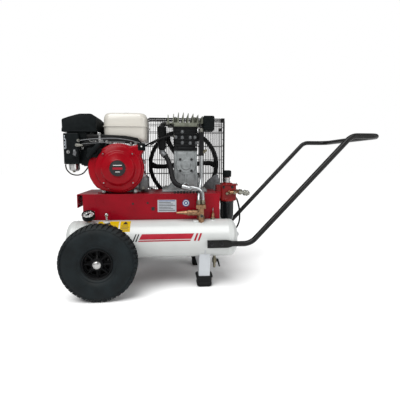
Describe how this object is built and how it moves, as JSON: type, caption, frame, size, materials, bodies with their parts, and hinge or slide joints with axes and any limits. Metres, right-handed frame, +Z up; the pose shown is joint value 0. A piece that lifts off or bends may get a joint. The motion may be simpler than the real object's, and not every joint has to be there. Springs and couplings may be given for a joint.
{
  "type": "wheelbarrow air compressor",
  "caption": "Two-wheeled air compressor: petrol engine belt-driving a finned piston pump over two air tanks, with feet, belt guard, regulator and a bent-tube push handle.",
  "frame": {"origin": "on the ground under the middle of the whole machine", "axes": "+X along the tanks from the wheels to the push handle, +Y across towards the belt guard, +Z up"},
  "size_m": [1.325, 0.66, 0.7553],
  "materials": {
    "tank_white": "semi-gloss off-white paint",
    "frame_red": "gloss deep red paint",
    "engine_red": "gloss bright red paint",
    "fuel_cream": "gloss cream paint",
    "black_paint": "satin black paint",
    "black_plastic": "matte black moulded plastic",
    "tyre": "matte rubber",
    "rubber": "matte rubber",
    "cast_aluminium": "grit-cast matte",
    "dark_cast": "dark painted casting",
    "steel": "zinc-plated bright",
    "brass": "machined brass"
  },
  "bodies": {
    "chassis": {"tank_near": "tank_white", "tank_far": "tank_white", "leg_frame": "tank_white", "base_plate": "frame_red", "regulator_body": "frame_red", "fan_cover": "engine_red", "recoil_cover": "engine_red", "fuel_tank": "fuel_cream", "axle_frame": "black_paint", "handle": "black_paint", "belt_guard": "black_paint", "cylinder_block": "black_paint", "muffler": "black_paint", "gauge_case": "black_paint", "air_cleaner_cover": "black_plastic", "air_cleaner_base": "black_plastic", "control_panel": "black_plastic", "intake_filter": "black_plastic", "filter_bowl": "black_plastic", "foot_near": "rubber", "foot_far": "rubber", "v_belt": "rubber", "vent_hose": "rubber", "delivery_hose": "rubber", "regulator_hose": "rubber", "engine_crankcase": "cast_aluminium", "carburettor": "cast_aluminium", "pump_crankcase": "cast_aluminium", "bearing_cover": "cast_aluminium", "pump_head": "cast_aluminium", "piston_near": "cast_aluminium", "piston_far": "cast_aluminium", "cooler_column": "cast_aluminium", "engine_cylinder": "dark_cast", "axle_near": "steel", "axle_far": "steel", "delivery_pipe": "steel", "riser_pipe": "steel", "coupler_body": "steel", "valve_manifold": "brass", "safety_valve": "brass", "drain_cock": "brass"},
    "wheel_near": {"tyre_near": "tyre", "rim_near": "black_paint"},
    "wheel_far": {"tyre_far": "tyre", "rim_far": "black_paint"},
    "pump_rotor": {"pump_flywheel": "dark_cast", "pump_crankshaft": "steel"},
    "engine_rotor": {"engine_shaft": "steel", "engine_pulley": "dark_cast"},
    "starter_grip": {"starter_grip": "black_plastic"},
    "fuel_cap": {"fuel_cap": "black_plastic"},
    "choke_lever": {"choke_lever": "steel"},
    "throttle_lever": {"throttle_lever": "steel"},
    "engine_switch": {"engine_switch": "black_plastic"},
    "regulator_knob": {"regulator_knob": "black_plastic"},
    "coupler_sleeve": {"coupler_sleeve": "steel"},
    "safety_ring": {"safety_ring": "steel"},
    "gauge_needle": {"gauge_needle": "black_plastic"},
    "drain_lever": {"drain_lever": "black_plastic"}
  },
  "joints": [
    {"name": "wheel_near_spin", "type": "hinge", "parent": "chassis", "child": "wheel_near", "pos_m": [-0.492, -0.285, 0.15], "axis": [0, 1, 0], "continuous": true},
    {"name": "wheel_far_spin", "type": "hinge", "parent": "chassis", "child": "wheel_far", "pos_m": [-0.492, 0.285, 0.15], "axis": [0, 1, 0], "continuous": true},
    {"name": "pump_flywheel_spin", "type": "hinge", "parent": "chassis", "child": "pump_rotor", "pos_m": [-0.1435, 0.155, 0.523], "axis": [0, 1, 0], "continuous": true},
    {"name": "engine_shaft_spin", "type": "hinge", "parent": "chassis", "child": "engine_rotor", "pos_m": [-0.428, 0.155, 0.51], "axis": [0, 1, 0], "continuous": true},
    {"name": "starter_pull", "type": "slide", "parent": "chassis", "child": "starter_grip", "axis": [-0.4501, -0.6501, 0.6121], "range_m": [0, 0.6], "stiffness_N_per_m": 15, "springref_m": -0.4},
    {"name": "fuel_cap_turn", "type": "hinge", "parent": "chassis", "child": "fuel_cap", "pos_m": [-0.406, 0.005, 0.753], "axis": [0, 0, 1], "range_deg": [0, 90]},
    {"name": "choke_swing", "type": "hinge", "parent": "chassis", "child": "choke_lever", "pos_m": [-0.598, -0.132, 0.6055], "axis": [0, 1, 0], "range_deg": [-35, 35]},
    {"name": "throttle_swing", "type": "hinge", "parent": "chassis", "child": "throttle_lever", "pos_m": [-0.506, -0.1175, 0.6235], "axis": [0, 1, 0], "range_deg": [-25, 30]},
    {"name": "switch_turn", "type": "hinge", "parent": "chassis", "child": "engine_switch", "pos_m": [-0.331, -0.14, 0.6], "axis": [0, 1, 0], "range_deg": [0, 60]},
    {"name": "regulator_turn", "type": "hinge", "parent": "chassis", "child": "regulator_knob", "pos_m": [0.052, -0.02, 0.48], "axis": [0, 0, 1], "range_deg": [-360, 360]},
    {"name": "coupler_release", "type": "slide", "parent": "chassis", "child": "coupler_sleeve", "axis": [-0.9849, 0, 0.173], "range_m": [0, 0.006], "stiffness_N_per_m": 1500, "springref_m": -0.002},
    {"name": "safety_ring_pull", "type": "slide", "parent": "chassis", "child": "safety_ring", "axis": [0, 0, 1], "range_m": [0, 0.004], "stiffness_N_per_m": 1000, "springref_m": -0.001},
    {"name": "gauge_needle_swing", "type": "hinge", "parent": "chassis", "child": "gauge_needle", "pos_m": [-0.544, -0.19855, 0.32738], "axis": [0, 0.4848, -0.8746], "range_deg": [0, 270], "stiffness_Nm_per_rad": 0.0002, "springref_deg": -17.19},
    {"name": "drain_turn", "type": "hinge", "parent": "chassis", "child": "drain_lever", "pos_m": [-0.014, -0.155, 0.1105], "axis": [1, 0, 0], "range_deg": [0, 90]}
  ],
  "couplings": [
    {"joint": "engine_shaft_spin", "follows": "pump_flywheel_spin", "ratio": 2.9333}
  ]
}
